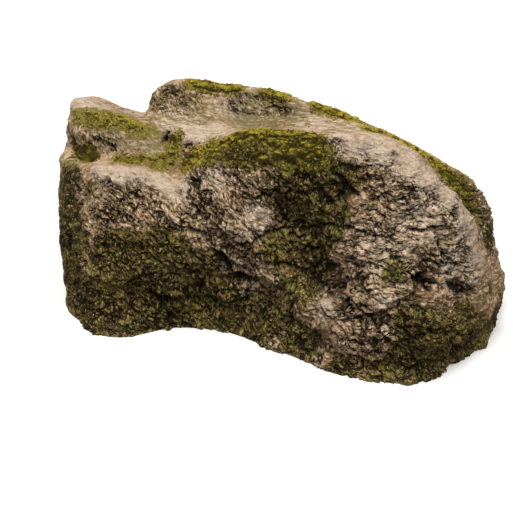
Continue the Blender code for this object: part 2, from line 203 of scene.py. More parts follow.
# creases and hollows finer than the stone's own shape: line through them, reach, depth
stoneCuts = {
    "diagonalCrease": ([(-0.23, -0.45, 0.54), (-0.16, -0.43, 0.46), (-0.11, -0.41, 0.40),
        (-0.05, -0.40, 0.36), (0.03, -0.39, 0.34)], 0.022, 0.050),
    "mossyGroove": ([(0.18, -0.34, 0.72), (0.26, -0.36, 0.62), (0.36, -0.42, 0.52),
        (0.46, -0.48, 0.46)], 0.085, 0.050),
    "grooveRoof": ([(0.34, -0.43, 0.46), (0.42, -0.46, 0.44), (0.52, -0.48, 0.46)], 0.022, 0.055),
    "hornCrevice": ([(-1.24, -0.06, 0.95), (-1.21, -0.14, 0.88), (-1.14, -0.17, 0.86),
        (-1.04, -0.20, 0.87)], 0.028, 0.060),
    "slabNotch": ([(-0.66, -0.02, 1.01), (-0.66, -0.06, 0.96)], 0.022, 0.045),
    "lowHole": ([(-0.53, -0.48, 0.17), (-0.49, -0.47, 0.15), (-0.45, -0.45, 0.18)], 0.024, 0.060),
    "roundHollow": ([(0.69, -0.58, 0.36), (0.76, -0.57, 0.36)], 0.045, 0.035),
    "hollowRoof": ([(0.62, -0.52, 0.40), (0.71, -0.56, 0.38), (0.78, -0.56, 0.41)], 0.013, 0.030),
    "hollowFloor": ([(0.65, -0.55, 0.35), (0.73, -0.58, 0.32), (0.78, -0.57, 0.36)], 0.013, 0.030),
    "shoulderSlot": ([(0.88, -0.42, 0.54), (0.92, -0.39, 0.51), (0.96, -0.39, 0.48)], 0.022, 0.045),
    "sideSlot": ([(1.04, -0.28, 0.46), (1.08, -0.24, 0.41), (1.14, -0.18, 0.38)], 0.028, 0.045),
    "lowGroove": ([(0.15, -0.39, 0.34), (0.20, -0.42, 0.30), (0.23, -0.43, 0.22),
        (0.23, -0.44, 0.16)], 0.026, 0.045),
    "highNick": ([(-0.13, -0.35, 0.92), (-0.08, -0.36, 0.91), (-0.04, -0.37, 0.88)], 0.014, 0.030),
    "highCrack": ([(0.00, -0.38, 0.83), (0.04, -0.35, 0.84), (0.14, -0.32, 0.85),
        (0.19, -0.32, 0.88)], 0.012, 0.035),
    "paleSide": ([(0.11, -0.33, 0.80), (0.14, -0.33, 0.76), (0.17, -0.34, 0.72)], 0.014, 0.035),
    "longCrack": ([(-0.03, -0.45, 0.58), (0.08, -0.41, 0.64), (0.20, -0.34, 0.66),
        (0.30, -0.34, 0.69), (0.43, -0.39, 0.74)], 0.012, 0.035),
    "leftCrack": ([(-0.31, -0.42, 0.72), (-0.26, -0.43, 0.72), (-0.21, -0.44, 0.72)], 0.011, 0.025),
    "leftLow": ([(-0.35, -0.45, 0.61), (-0.28, -0.43, 0.60), (-0.21, -0.43, 0.58)], 0.011, 0.025),
    "mossCrack": ([(0.07, -0.43, 0.50), (0.22, -0.41, 0.48), (0.30, -0.41, 0.48),
        (0.39, -0.41, 0.51)], 0.014, 0.035),
    "slantCrack": ([(0.55, -0.51, 0.40), (0.60, -0.55, 0.35), (0.64, -0.57, 0.31),
        (0.68, -0.59, 0.25)], 0.012, 0.030),
    "footCrack": ([(0.44, -0.54, 0.09), (0.50, -0.55, 0.08), (0.53, -0.57, 0.08)], 0.014, 0.025),
    "rightNick": ([(0.95, -0.34, 0.61), (0.98, -0.32, 0.57)], 0.013, 0.030),
    "uprightNick": ([(0.96, -0.30, 0.69), (0.98, -0.30, 0.65), (0.99, -0.29, 0.62)], 0.014, 0.030),
    "beigeNick": ([(0.75, -0.48, 0.66), (0.80, -0.46, 0.65)], 0.011, 0.028),
    "bossNick": ([(0.82, -0.57, 0.34), (0.88, -0.57, 0.31)], 0.012, 0.028),
    "ridgeHole": ([(0.46, -0.35, 0.93), (0.53, -0.36, 0.91)], 0.018, 0.040),
    "crestNick": ([(0.75, -0.34, 0.92), (0.80, -0.31, 0.93)], 0.009, 0.025),
    "middleNick": ([(0.52, -0.41, 0.76), (0.60, -0.43, 0.75)], 0.013, 0.030),
    "innerCrack": ([(0.51, -0.48, 0.58), (0.56, -0.50, 0.59), (0.61, -0.52, 0.59)], 0.013, 0.030),
    "outerCrack": ([(0.84, -0.36, 0.77), (0.88, -0.33, 0.77), (0.92, -0.29, 0.78)], 0.011, 0.028),
    "ridgeGully": ([(0.40, -0.32, 1.01), (0.44, -0.33, 0.98), (0.47, -0.35, 0.93),
        (0.44, -0.36, 0.88)], 0.026, 0.030),
    "underMoss": ([(0.23, -0.32, 0.97), (0.30, -0.33, 0.95), (0.35, -0.34, 0.91),
        (0.40, -0.36, 0.85)], 0.018, 0.028),
    "lowSlot": ([(-0.22, -0.39, 0.19), (-0.15, -0.39, 0.17), (-0.08, -0.39, 0.14)], 0.018, 0.030),
}

# where the outline is pulled in or out: place, reach, move
stoneMoves = {
    "waist": ((1.25, 0.26, 0.37), 0.19, (-0.056, 0, 0)),
    "nose": ((1.27, 0.10, 0.19), 0.09, (0.048, 0, 0)),
    "upperWaist": ((1.26, 0.07, 0.36), 0.07, (-0.028, 0, 0)),
    "underNose": ((1.29, 0.04, 0.16), 0.09, (-0.055, 0, 0)),
    "rightFoot": ((1.22, -0.07, 0.02), 0.06, (0.020, 0, 0)),
    "footCorner": ((1.16, -0.32, 0.00), 0.10, (-0.040, 0.025, 0)),
    "backLump": ((1.11, 0.25, 0.65), 0.13, (0.030, 0.015, 0.010)),
    "leftFoot": ((-1.14, -0.42, 0.30), 0.15, (0.034, 0, 0)),
    "hornCorner": ((-1.27, 0.03, 1.07), 0.06, (-0.006, 0, 0.024)),
    "backKnob": ((-0.80, 0.18, 1.14), 0.07, (-0.012, 0, 0.018)),
    "hornSide": ((-1.27, -0.03, 0.94), 0.06, (-0.026, 0, 0)),
    "frontFoot": ((0.65, -0.62, 0.05), 0.22, (0, 0.030, 0)),
    "hornTop": ((-1.12, 0.06, 1.11), 0.07, (0, 0, 0.010)),
}

# tops that are broken rather than worn smooth: place, reach, strength
stoneCrags = [
    ((-1.15, -0.13, 0.99), 0.08, 0.38), ((-1.01, -0.16, 0.96), 0.09, 0.38),
    ((-0.88, -0.16, 0.94), 0.09, 0.38), ((-0.75, -0.17, 0.93), 0.08, 0.38),
    ((-0.70, -0.05, 0.96), 0.06, 0.34), ((-0.74, 0.15, 1.15), 0.09, 0.38),
    ((-0.63, 0.12, 1.11), 0.11, 0.38), ((-0.51, 0.12, 1.09), 0.09, 0.38),
    ((-0.30, 0.20, 1.11), 0.08, 0.34), ((-0.14, 0.20, 1.11), 0.09, 0.34),
    ((-0.02, 0.18, 1.13), 0.08, 0.34), ((0.97, 0.20, 0.84), 0.10, 0.34),
]

# edges and bosses that are worn smoother than the stone round them
stoneWorn = [
    ((0.50, -0.25, 1.13), 0.07, 0.6), ((0.61, -0.25, 1.11), 0.07, 0.6),
    ((0.74, -0.23, 1.06), 0.07, 0.65), ((0.85, -0.21, 0.99), 0.07, 0.65),
    ((0.96, -0.18, 0.91), 0.07, 0.65), ((1.05, -0.14, 0.81), 0.07, 0.7),
    ((1.12, -0.12, 0.69), 0.08, 0.7), ((1.15, -0.10, 0.58), 0.08, 0.7),
    ((1.18, -0.05, 0.48), 0.07, 0.5), ((1.10, -0.17, 0.77), 0.09, 0.6),
    ((-0.86, -0.44, 0.88), 0.08, 0.5), ((-0.72, -0.42, 0.86), 0.08, 0.5),
    ((-0.45, -0.36, 0.79), 0.09, 0.4), ((0.03, -0.40, 0.73), 0.08, 0.45),
    ((0.46, -0.55, 0.31), 0.07, 0.15),
]

# where the stone is stained or worn, and where shade is painted on: place, reach, strength
stoneZones = {
    "film": [  # green algae and moss crust
        ((-0.71, -0.55, 0.42), 0.20, 0.9), ((-0.50, -0.48, 0.45), 0.20, 1.0),
        ((-0.81, -0.62, 0.20), 0.22, 0.8), ((-0.55, -0.54, 0.22), 0.24, 1.0),
        ((-0.30, -0.47, 0.40), 0.16, 0.9), ((-0.25, -0.40, 0.17), 0.24, 1.0),
        ((-0.90, -0.62, 0.03), 0.20, 0.8), ((-0.50, -0.50, 0.03), 0.26, 1.0),
        ((-0.05, -0.40, 0.10), 0.22, 0.9), ((0.08, -0.33, 0.88), 0.10, 0.5),
        ((0.24, -0.32, 0.92), 0.15, 0.8), ((0.42, -0.33, 0.97), 0.13, 1.0),
        ((0.24, -0.33, 0.76), 0.15, 0.9), ((0.40, -0.36, 0.84), 0.14, 1.0),
        ((0.36, -0.37, 0.70), 0.14, 0.9), ((0.18, -0.39, 0.57), 0.13, 0.9),
        ((0.32, -0.39, 0.52), 0.14, 1.0), ((0.28, -0.45, 0.40), 0.13, 0.8),
        ((0.11, -0.42, 0.18), 0.16, 0.8), ((0.30, -0.48, 0.10), 0.14, 0.8),
        ((0.93, -0.53, 0.33), 0.15, 0.9), ((1.03, -0.48, 0.22), 0.19, 1.2),
        ((1.14, -0.32, 0.25), 0.16, 0.9), ((0.97, -0.50, 0.08), 0.18, 1.2),
        ((1.16, -0.16, 0.08), 0.16, 0.9), ((0.55, -0.59, 0.03), 0.12, 0.7),
        ((0.75, -0.58, 0.04), 0.12, 0.7), ((0.78, -0.49, 0.60), 0.07, 0.9),
        ((-0.90, -0.47, 0.78), 0.10, 0.45), ((-0.97, -0.55, 0.48), 0.14, 0.7),
        ((-1.03, -0.56, 0.32), 0.12, 0.5), ((1.18, 0.26, 0.50), 0.12, 0.7),
        ((1.23, 0.01, 0.35), 0.06, 0.8), ((0.95, 0.17, 0.82), 0.12, 0.5),
        ((1.07, 0.17, 0.68), 0.10, 0.5), ((-0.72, 0.12, 1.10), 0.10, 0.3),
        ((-0.55, 0.12, 1.12), 0.12, 0.3), ((-0.10, 0.19, 1.10), 0.13, 0.2),
        ((-1.10, -0.48, 0.55), 0.20, 0.9), ((-1.12, -0.38, 0.80), 0.14, 0.7),
        ((-1.05, -0.56, 0.30), 0.20, 0.75), ((-1.12, -0.40, 0.12), 0.20, 0.70),
        ((1.19, -0.18, 0.16), 0.13, 1.0), ((1.10, -0.38, 0.12), 0.14, 1.0),
        ((0.87, -0.56, 0.17), 0.10, 0.8), ((1.22, 0.02, 0.14), 0.12, 0.8),
        ((1.24, 0.15, 0.20), 0.12, 0.8), ((1.20, 0.22, 0.06), 0.14, 1.0),
        ((-0.75, -0.50, 0.61), 0.20, 0.32), ((-0.45, -0.44, 0.60), 0.18, 0.30),
        ((0.60, 0.60, 0.40), 0.35, 0.6), ((-0.30, 0.60, 0.35), 0.40, 0.7),
        ((-1.10, 0.30, 0.30), 0.25, 0.6),
    ],
    "green": [  # thin bright moss film
        ((-1.17, -0.09, 1.05), 0.06, 0.8), ((-1.04, -0.08, 1.06), 0.07, 0.8),
        ((-0.92, -0.07, 1.04), 0.07, 0.8), ((-0.82, -0.08, 1.01), 0.07, 0.7),
        ((-0.75, -0.03, 1.00), 0.06, 0.6), ((-0.73, -0.22, 0.89), 0.07, 0.7),
        ((-0.62, -0.19, 0.88), 0.08, 0.8), ((-0.59, -0.09, 0.95), 0.07, 0.9),
        ((-0.45, -0.17, 0.88), 0.06, 0.7), ((-0.36, -0.24, 0.95), 0.07, 0.8),
        ((-0.26, -0.28, 1.00), 0.08, 0.8), ((-0.16, -0.29, 1.02), 0.08, 0.8),
        ((-0.05, -0.30, 1.03), 0.08, 0.9), ((0.06, -0.30, 1.04), 0.08, 0.9),
        ((0.17, -0.31, 1.04), 0.08, 0.9), ((0.27, -0.31, 1.04), 0.08, 0.9),
        ((0.36, -0.29, 1.06), 0.07, 0.7), ((0.90, 0.16, 0.88), 0.06, 0.6),
        ((0.96, 0.14, 0.80), 0.07, 0.6), ((-1.13, -0.15, 0.88), 0.05, 0.6),
        ((-0.60, 0.12, 1.11), 0.10, 0.35), ((-0.38, 0.16, 1.12), 0.06, 0.3),
    ],
    "lichen": [  # grey-green crust
        ((-1.01, -0.15, 0.98), 0.10, 1.0), ((-0.89, -0.14, 0.96), 0.11, 1.0),
        ((-0.77, -0.15, 0.94), 0.10, 0.9), ((-0.67, -0.06, 0.95), 0.09, 0.8),
        ((-0.70, -0.22, 0.89), 0.10, 0.9), ((-0.62, -0.17, 0.88), 0.08, 0.6),
        ((-0.20, 0.20, 1.10), 0.16, 1.0), ((0.00, 0.19, 1.10), 0.10, 0.8),
        ((0.14, 0.17, 1.14), 0.08, 0.6), ((0.96, 0.18, 0.80), 0.12, 0.9),
        ((0.80, -0.57, 0.05), 0.14, 0.7), ((0.60, -0.59, 0.05), 0.14, 0.7),
        ((-0.19, -0.44, 0.42), 0.05, 0.8), ((0.22, -0.33, 0.72), 0.08, 0.5),
    ],
    "pale": [  # washed clean and bleached
        ((-0.86, -0.42, 0.90), 0.09, 1.0), ((-0.76, -0.42, 0.88), 0.09, 1.0),
        ((-0.66, -0.36, 0.87), 0.08, 0.9), ((-0.57, -0.31, 0.83), 0.08, 1.0),
        ((-0.45, -0.33, 0.81), 0.10, 0.9), ((-0.35, -0.38, 0.76), 0.08, 0.5),
        ((-0.22, -0.36, 0.90), 0.10, 0.6), ((-0.65, 0.04, 1.04), 0.10, 0.8),
        ((-0.52, 0.00, 1.04), 0.13, 1.0), ((-0.38, -0.03, 1.04), 0.13, 1.0),
        ((-0.20, -0.10, 1.08), 0.12, 0.9), ((0.39, -0.25, 1.14), 0.09, 0.9),
        ((0.50, -0.25, 1.13), 0.10, 1.0), ((0.61, -0.24, 1.12), 0.10, 1.0),
        ((0.74, -0.22, 1.07), 0.10, 1.0), ((0.85, -0.22, 0.98), 0.10, 0.9),
        ((0.97, -0.17, 0.90), 0.10, 0.9), ((1.05, -0.14, 0.78), 0.10, 0.9),
        ((1.12, -0.17, 0.72), 0.13, 1.0), ((0.02, -0.40, 0.76), 0.08, 1.0),
        ((0.05, -0.40, 0.69), 0.07, 1.0), ((-0.03, -0.44, 0.64), 0.06, 0.7),
        ((-0.19, -0.44, 0.42), 0.05, 1.0), ((-0.01, -0.40, 0.28), 0.05, 1.0),
        ((0.03, -0.40, 0.23), 0.05, 1.0), ((0.44, -0.54, 0.33), 0.08, 0.7),
        ((0.52, -0.56, 0.30), 0.08, 0.45), ((0.75, -0.55, 0.47), 0.06, 0.8),
        ((0.92, -0.53, 0.03), 0.06, 1.0), ((-1.20, 0.02, 1.11), 0.12, 0.9),
        ((-1.06, 0.04, 1.09), 0.12, 0.8), ((-0.95, 0.18, 1.02), 0.12, 0.6),
        ((0.20, 0.10, 1.15), 0.20, 0.7), ((-0.35, 0.20, 1.16), 0.16, 0.6),
        ((0.45, 0.02, 1.12), 0.16, 0.8), ((1.05, 0.32, 0.76), 0.14, 0.5),
        ((0.84, -0.30, 0.80), 0.18, 0.6), ((0.72, -0.42, 0.66), 0.20, 0.5),
        ((1.05, -0.28, 0.58), 0.13, 0.8), ((1.12, -0.14, 0.52), 0.12, 0.8),
        ((0.84, -0.57, 0.30), 0.08, 0.6),
    ],
    "wash": [  # green dust that rain has drawn out in streaks
        ((-0.66, 0.11, 1.10), 0.13, 1.0), ((-0.50, 0.12, 1.09), 0.12, 0.9),
        ((-0.36, 0.15, 1.12), 0.12, 0.5), ((-0.15, 0.15, 1.10), 0.20, 0.8),
        ((0.05, 0.14, 1.13), 0.14, 0.8), ((0.35, 0.08, 1.13), 0.18, 0.5),
        ((0.60, -0.05, 1.12), 0.14, 0.4), ((-0.96, -0.01, 1.03), 0.13, 0.8),
        ((-0.78, -0.02, 1.00), 0.11, 1.0), ((-0.62, -0.16, 0.90), 0.13, 0.7),
        ((-1.10, 0.00, 1.07), 0.10, 0.4), ((0.95, 0.18, 0.83), 0.16, 0.9),
        ((1.07, 0.20, 0.68), 0.14, 0.9), ((-0.40, 0.40, 1.05), 0.25, 0.6),
    ],
    "rust": [  # iron stain
        ((0.82, -0.54, 0.47), 0.07, 0.8), ((0.95, -0.44, 0.45), 0.08, 1.0),
        ((1.05, -0.36, 0.40), 0.07, 0.9), ((-0.21, -0.39, 0.83), 0.12, 0.7),
        ((0.16, -0.32, 0.96), 0.08, 0.8), ((-0.58, -0.42, 0.73), 0.14, 0.6),
        ((-0.75, -0.54, 0.40), 0.09, 0.5), ((1.12, 0.20, 0.62), 0.10, 0.6),
    ],
    "damp": [  # painted shade: dark where the stone lies in shadow, in hollows and under overhangs
        ((-1.22, -0.12, 0.92), 0.07, 1.0), ((-1.14, -0.17, 0.87), 0.06, 1.0),
        ((-0.66, -0.04, 0.98), 0.05, 0.9), ((0.48, -0.47, 0.45), 0.07, 1.0),
        ((-0.50, -0.47, 0.16), 0.05, 1.0), ((0.75, -0.57, 0.37), 0.05, 0.8),
        ((0.92, -0.41, 0.51), 0.05, 0.9), ((1.08, -0.24, 0.42), 0.07, 0.9),
        ((0.47, -0.35, 0.93), 0.06, 0.9), ((0.15, -0.33, 0.79), 0.06, 0.7),
        ((-0.10, -0.42, 0.39), 0.06, 0.7), ((0.27, -0.41, 0.49), 0.10, 0.7),
        ((0.10, -0.33, 0.83), 0.06, 0.8), ((-1.08, -0.48, 0.55), 0.22, 0.9),
        ((-1.00, -0.57, 0.20), 0.22, 0.7), ((-1.12, -0.36, 0.78), 0.16, 0.9),
        ((1.00, -0.50, 0.20), 0.20, 0.6), ((1.22, 0.12, 0.10), 0.16, 0.9),
        ((1.24, 0.08, 0.26), 0.09, 0.6),
        ((0.30, -0.44, 0.20), 0.12, 0.7), ((0.43, -0.44, 0.48), 0.11, 1.0),
        ((0.34, -0.42, 0.54), 0.10, 0.8), ((-0.15, -0.43, 0.45), 0.06, 0.9),
        ((-0.05, -0.40, 0.37), 0.06, 0.9), ((0.60, -0.54, 0.34), 0.06, 0.7),
        ((0.36, -0.38, 0.66), 0.09, 0.6), ((1.18, -0.18, 0.20), 0.12, 0.6),
    ],
}

patternOutputs = ("Height", "Fine", "Tone", "Slit", "Grain")


def patternTree(name, kind):
    tree = bpy.data.node_groups.new(name + kind, kind + "NodeTree")
    tree.interface.new_socket("Vector", in_out="INPUT", socket_type="NodeSocketVector")
    for output in patternOutputs:
        tree.interface.new_socket(output, in_out="OUTPUT", socket_type="NodeSocketFloat")
    return tree, addNode(tree, "NodeGroupInput", {})


def crumbleGroup(kind):  # kind is Geometry or Shader: the mesh and the colour share one pattern
    tree, place = patternTree("crumble", kind)
    warped = place
    for size, reach in stone["sway"]:
        sway = addNode(tree, "ShaderNodeTexNoise", {"Vector": place, "Scale": 1 / size, "Detail": 2.0},
            "Color")
        centred = addNode(tree, "ShaderNodeVectorMath", {"operation": "SUBTRACT", 0: sway,
            1: (0.5, 0.5, 0.5)})
        warped = addNode(tree, "ShaderNodeVectorMath", {"operation": "MULTIPLY_ADD", 0: centred,
            1: (reach, reach, reach), 2: warped})
    height = fine = stone["sink"]
    for size, rise, detail, low, high in stone["lumps"]:
        noise = addNode(tree, "ShaderNodeTexNoise", {"Vector": warped, "Scale": 1 / size,
            "Detail": detail, "Roughness": 0.62})
        spread = addNode(tree, "ShaderNodeMapRange", {0: noise, "From Min": low, "From Max": high,
            "To Min": -1.0, "interpolation_type": "SMOOTHSTEP"})
        height = addNode(tree, "ShaderNodeMath", {"operation": "MULTIPLY_ADD", 0: spread, 1: rise,
            2: height})
    slit = 0.0
    for number, (size, depth) in enumerate(stone["creases"]):  # broken lines at a noise's middle
        moved = addNode(tree, "ShaderNodeVectorMath", {"operation": "ADD", 0: warped,
            1: (3.7 * number, 1.9, -2.3 * number)})
        noise = addNode(tree, "ShaderNodeTexNoise", {"Vector": moved, "Scale": 1 / size, "Detail": 3.0,
            "Roughness": 0.6})
        level = addNode(tree, "ShaderNodeMath", {"operation": "SUBTRACT", 0: noise, 1: 0.5})
        level = addNode(tree, "ShaderNodeMath", {"operation": "ABSOLUTE", 0: level})
        line = addNode(tree, "ShaderNodeMapRange", {0: level, "From Min": stone["creaseWidth"],
            "From Max": 0.0})
        other = addNode(tree, "ShaderNodeTexNoise", {"Vector": moved, "Scale": 0.9 / size, "Detail": 1.0})
        share = addNode(tree, "ShaderNodeMapRange", {0: other, "From Min": stone["creaseShare"][0],
            "From Max": stone["creaseShare"][1]})
        crease = addNode(tree, "ShaderNodeMath", {"operation": "MULTIPLY", 0: line, 1: share})
        height = addNode(tree, "ShaderNodeMath", {"operation": "MULTIPLY_ADD", 0: crease, 1: -depth,
            2: height})
        slit = addNode(tree, "ShaderNodeMath", {"operation": "MAXIMUM", 0: crease, 1: slit})
    tone = 0.5
    for size, rise in stone["chips"]:  # flat tilted faces with a step down between neighbours
        chip = addNode(tree, "ShaderNodeTexVoronoi", {"Vector": warped, "Scale": 1 / size}).node
        random = addNode(tree, "ShaderNodeVectorMath", {"operation": "SUBTRACT", 0: chip.outputs["Color"],
            1: (0.5, 0.5, 0.5)})
        across = addNode(tree, "ShaderNodeVectorMath", {"operation": "SUBTRACT", 0: warped,
            1: chip.outputs["Position"]})
        tilt = addNode(tree, "ShaderNodeVectorMath", {"operation": "DOT_PRODUCT", 0: across, 1: random},
            "Value")
        parts = addNode(tree, "ShaderNodeSeparateXYZ", {0: random}).node
        step = addNode(tree, "ShaderNodeMath", {"operation": "MULTIPLY_ADD", 0: tilt, 1: 1.6 / size,
            2: parts.outputs["X"]})
        fine = addNode(tree, "ShaderNodeMath", {"operation": "MULTIPLY_ADD", 0: step, 1: rise, 2: fine})
        tone = addNode(tree, "ShaderNodeMath", {"operation": "MULTIPLY_ADD", 0: parts.outputs["Y"],
            1: 0.5, 2: tone})
    for size, rise in stone["crags"]:  # hackly broken stone
        noise = addNode(tree, "ShaderNodeTexNoise", {"Vector": warped, "Scale": 1 / size, "Detail": 4.0,
            "Roughness": 0.68})
        spread = addNode(tree, "ShaderNodeMath", {"operation": "SUBTRACT", 0: noise, 1: 0.5})
        fine = addNode(tree, "ShaderNodeMath", {"operation": "MULTIPLY_ADD", 0: spread, 1: rise * 3,
            2: fine})
    noise = addNode(tree, "ShaderNodeTexNoise", {"Vector": warped, "Scale": 1 / stone["pit"],
        "Detail": 3.0, "Roughness": 0.6})
    pit = addNode(tree, "ShaderNodeMapRange", {0: noise, "From Min": 0.40, "From Max": 0.28,
        "interpolation_type": "SMOOTHSTEP"})
    fine = addNode(tree, "ShaderNodeMath", {"operation": "MULTIPLY_ADD", 0: pit, 1: -stone["pitDepth"],
        2: fine})
    slit = addNode(tree, "ShaderNodeMath", {"operation": "MAXIMUM", 0: pit, 1: slit})
    # some areas are deeply broken and others worn
    noise = addNode(tree, "ShaderNodeTexNoise", {"Vector": warped, "Scale": 1 / stone["worn"],
        "Detail": 2.0})
    broken = addNode(tree, "ShaderNodeMapRange", {0: noise, "From Min": 0.38, "From Max": 0.62,
        "To Min": stone["wornShare"], "To Max": 1.3})
    fine = addNode(tree, "ShaderNodeMath", {"operation": "MULTIPLY", 0: fine, 1: broken})
    slit = addNode(tree, "ShaderNodeMath", {"operation": "MULTIPLY", 0: slit, 1: broken})
    height = addNode(tree, "ShaderNodeMath", {"operation": "ADD", 0: height, 1: fine})
    drawn = addNode(tree, "ShaderNodeVectorMath", {"operation": "MULTIPLY", 0: warped,
        1: stone["grainStretch"]})
    grain = addNode(tree, "ShaderNodeTexNoise", {"Vector": drawn, "Scale": 1 / stone["grain"],
        "Detail": 2.0, "Roughness": 0.6})
    addNode(tree, "NodeGroupOutput", {"Height": height, "Fine": fine, "Tone": tone, "Slit": slit,
        "Grain": grain})
    return tree


def beddedGroup(kind):  # the crumble, turned to run the way the stone is bedded there
    crumble = crumbleGroup(kind)
    tree, place = patternTree("bedded", kind)
    across = addNode(tree, "ShaderNodeSeparateXYZ", {0: place})
    mixed = None
    for angle, start, full in stone["beds"]:
        turned = addNode(tree, "ShaderNodeVectorRotate", {"rotation_type": "Y_AXIS", "Vector": place,
            "Angle": -math.radians(angle)})
        flat = addNode(tree, "ShaderNodeVectorMath", {"operation": "MULTIPLY", 0: turned,
            1: (1 / stone["streak"], 1 / stone["streak"], 1)})
        bed = addNode(tree, kind + "NodeGroup", {"node_tree": crumble, 0: flat}).node.outputs
        if mixed is None:
            mixed = list(bed)
            continue
        share = addNode(tree, "ShaderNodeMapRange", {0: across, "From Min": start, "From Max": full,
            "interpolation_type": "SMOOTHSTEP"})
        mixed = [addNode(tree, "ShaderNodeMix", {0: share, 2: one, 3: other})
                 for one, other in zip(mixed, bed)]
    addNode(tree, "NodeGroupOutput", dict(enumerate(mixed)))
    return tree


def weatheringTree():
    tree = newGeometryTree("weathering")
    place = addNode(tree, "GeometryNodeInputPosition", {})
    facing = addNode(tree, "GeometryNodeInputNormal", {})
    rough = addNode(tree, "GeometryNodeInputNamedAttribute", {"data_type": "FLOAT", "Name": "rough"})
    kept = addNode(tree, "GeometryNodeStoreNamedAttribute", {"data_type": "FLOAT_VECTOR",
        "domain": "POINT", "Name": "restPlace", "Geometry": addNode(tree, "NodeGroupInput", {}),
        "Value": place})
    height = addNode(tree, "GeometryNodeGroup", {"node_tree": beddedGroup("Geometry"), 0: place})
    scaled = addNode(tree, "ShaderNodeMath", {"operation": "MULTIPLY", 0: height, 1: rough})
    cut = addNode(tree, "GeometryNodeInputNamedAttribute", {"data_type": "FLOAT", "Name": "cutDepth"})
    ragged = addNode(tree, "ShaderNodeTexNoise", {"Vector": place, "Scale": 1 / stone["cutRagged"]})
    share = addNode(tree, "ShaderNodeMapRange", {0: ragged, "From Min": 0.35, "From Max": 0.62,
        "To Min": -stone["cutShare"][0], "To Max": -stone["cutShare"][1]})
    scaled = addNode(tree, "ShaderNodeMath", {"operation": "MULTIPLY_ADD", 0: cut, 1: share, 2: scaled})
    direction = addNode(tree, "ShaderNodeVectorMath", {"operation": "SUBTRACT", 0: facing,
        1: (0, 0, stone["droop"])})
    offset = addNode(tree, "ShaderNodeVectorMath", {"operation": "SCALE", 0: direction, "Scale": scaled})
    result = addNode(tree, "GeometryNodeSetPosition", {"Geometry": kept, "Offset": offset})
    for name in ("cavity", "hollow"):  # how far it lies below its surroundings
        place = addNode(tree, "GeometryNodeInputPosition", {})
        facing = addNode(tree, "GeometryNodeInputNormal", {})
        blurred = addNode(tree, "GeometryNodeBlurAttribute", {"data_type": "FLOAT_VECTOR",
            "Iterations": stone[name + "Rounds"], "Value": place})
        above = addNode(tree, "ShaderNodeVectorMath", {"operation": "SUBTRACT", 0: blurred, 1: place})
        outward = addNode(tree, "GeometryNodeBlurAttribute", {"data_type": "FLOAT_VECTOR",
            "Iterations": stone["cavityRounds"], "Value": facing})
        depth = addNode(tree, "ShaderNodeVectorMath", {"operation": "DOT_PRODUCT", 0: above, 1: outward},
            "Value")
        result = addNode(tree, "GeometryNodeStoreNamedAttribute", {"data_type": "FLOAT",
            "domain": "POINT", "Name": name, "Geometry": result, "Value": depth})
    addNode(tree, "NodeGroupOutput", {0: result})
    return tree


def storeNumbers(obj, name, values):
    attribute = obj.data.attributes.get(name) or obj.data.attributes.new(name, "FLOAT", "POINT")
    attribute.data.foreach_set("value", values.astype(np.float32))


def easeBetween(values, low, high):  # smooth 0 to 1
    t = np.clip((values - low) / (high - low), 0, 1)
    return t * t * (3 - 2 * t)


def spotShare(places, spots, inner=0.45, outer=1.35):  # how much of each place the spots cover
    share = np.zeros(len(places))
    for place, reach, strength in spots:
        gap = np.linalg.norm(places - place, axis=1)
        share = np.maximum(share, strength * (1 - easeBetween(gap, reach * inner, reach * outer)))
    return share


def distanceToLine(places, line):
    nearest = np.full(len(places), 9.0)
    line = np.array(line)
    for a, b in zip(line[:-1], line[1:]):
        along = np.clip((places - a) @ (b - a) / ((b - a) @ (b - a)), 0, 1)
        nearest = np.minimum(nearest, np.linalg.norm(places - a - along[:, None] * (b - a), axis=1))
    return nearest


def mossDistance(places):  # to the nearest surface of any moss mat
    corners, faces = [], []
    for name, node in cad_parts.items():
        if name != "boulder":
            faces += [[i + len(corners) for i in p.vertices] for p in node.data.polygons]
            corners += [v.co for v in node.data.vertices]
    tree = BVHTree.FromPolygons(corners, faces)
    return np.array([tree.find_nearest(p)[3] for p in places])


boulder = copyOfNode("boulder", "weathered_boulder")
applyModifier(boulder, "REMESH", {"mode": "VOXEL", "voxel_size": stone["voxel"]})
applyModifier(boulder, "SMOOTH", {"factor": 0.5, "iterations": stone["settle"]})
print("stone remeshed:", len(boulder.data.polygons), "faces")

# the sides that show most get a mesh twice as fine
shownSide = Vector(stone["shownSide"]).normalized()
editPoints(boulder, pointArrays(boulder)[1] @ np.array(shownSide) > stone["shownLeast"])
bpy.ops.mesh.subdivide(number_cuts=1)
bpy.ops.object.mode_set(mode="OBJECT")
print("stone refined:", len(boulder.data.polygons), "faces")

points, normals = pointArrays(boulder)
for place, reach, move in stoneMoves.values():
    share = np.exp(-(np.linalg.norm(points - place, axis=1) / reach) ** 2)
    points += share[:, None] * np.array(move)
boulder.data.vertices.foreach_set("co", points.ravel())
foot = (points[:, 2] < stone["footHeight"]) & (normals[:, 2] < stone["footFacing"])
fromMoss = mossDistance(points)
calm = 1 - (1 - stone["topCalm"]) * easeBetween(normals[:, 2], *stone["topFacing"])
cut, cutDepth = np.zeros(len(points)), np.zeros(len(points))
for line, reach, depth in stoneCuts.values():
    share = np.exp(-(distanceToLine(points, line) / reach) ** 2)
    cut = np.maximum(cut, share * min(1, stone["fullCut"] / reach))
    cutDepth = np.maximum(cutDepth, share * depth)
storeNumbers(boulder, "cut", cut)
storeNumbers(boulder, "cutDepth", cutDepth)
storeNumbers(boulder, "mossGap", fromMoss)
ends = 1 - (1 - stone["endCalm"]) * easeBetween(np.abs(points[:, 0] - stone["middle"]), *stone["endsFrom"])
calm = np.maximum(calm * ends, spotShare(points, stoneCrags)) * (1 - spotShare(points, stoneWorn))
